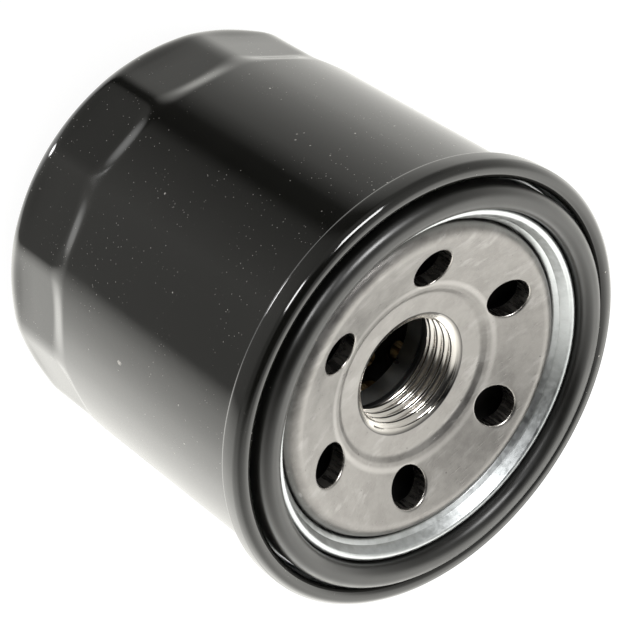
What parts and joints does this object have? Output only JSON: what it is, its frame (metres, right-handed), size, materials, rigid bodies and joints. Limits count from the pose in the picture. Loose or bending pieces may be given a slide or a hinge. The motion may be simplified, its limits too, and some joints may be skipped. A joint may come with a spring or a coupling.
{
  "type": "spin-on oil filter",
  "caption": "Spin-on oil filter: round can with wrench flats, rolled seam, rubber gasket, threaded base plate with inlet holes, and pleated element with valves inside.",
  "frame": {"origin": "centre of the closed end, which the filter stands on", "axes": "+Z along the filter's axis, out of the threaded end; +X towards one inlet hole"},
  "size_m": [0.0719, 0.0718, 0.066],
  "materials": {
    "black_paint": "gloss black stoving enamel on drawn steel",
    "plate_steel": "satin bare steel, faintly scratched",
    "zinc_steel": "bright zinc-plated sheet",
    "gasket_rubber": "satin black nitrile rubber",
    "sealant": "dull seaming compound",
    "valve_rubber": "smooth black nitrile rubber",
    "cap_steel": "tin-plated pressed steel",
    "potting": "cured plastisol adhesive",
    "paper": "resin-treated pleated filter paper",
    "spring_steel": "dark drawn spring wire"
  },
  "bodies": {
    "housing": {"can_shell": "black_paint", "base_plate": "plate_steel", "gasket_retainer": "zinc_steel", "sealing_gasket": "gasket_rubber", "seam_sealant": "sealant"},
    "element": {"top_end_cap": "cap_steel", "top_potting": "potting", "pleated_media": "paper", "media_clip": "cap_steel", "center_tube": "cap_steel", "bottom_potting": "potting", "bottom_end_cap": "cap_steel", "bypass_seat_plate": "cap_steel", "bypass_housing": "cap_steel", "support_spring": "spring_steel"},
    "bypass": {"bypass_poppet": "cap_steel", "bypass_seal": "valve_rubber", "bypass_spring": "spring_steel"},
    "drain_flap": {"anti_drain_valve": "valve_rubber"}
  },
  "joints": [
    {"name": "element_float", "type": "slide", "parent": "housing", "child": "element", "axis": [0, 0, -1], "range_m": [0, 0.002], "stiffness_N_per_m": 6000, "springref_m": -0.008, "deforming": ["support_spring"]},
    {"name": "bypass_lift", "type": "slide", "parent": "element", "child": "bypass", "axis": [0, 0, 1], "range_m": [0, 0.003], "stiffness_N_per_m": 1200, "springref_m": -0.006, "deforming": ["bypass_spring"]},
    {"name": "drain_flap_flex", "type": "slide", "parent": "housing", "child": "drain_flap", "axis": [0, 0, -1], "range_m": [0, 0.0012], "stiffness_N_per_m": 400, "springref_m": -0.002, "deforming": ["anti_drain_valve"]}
  ]
}
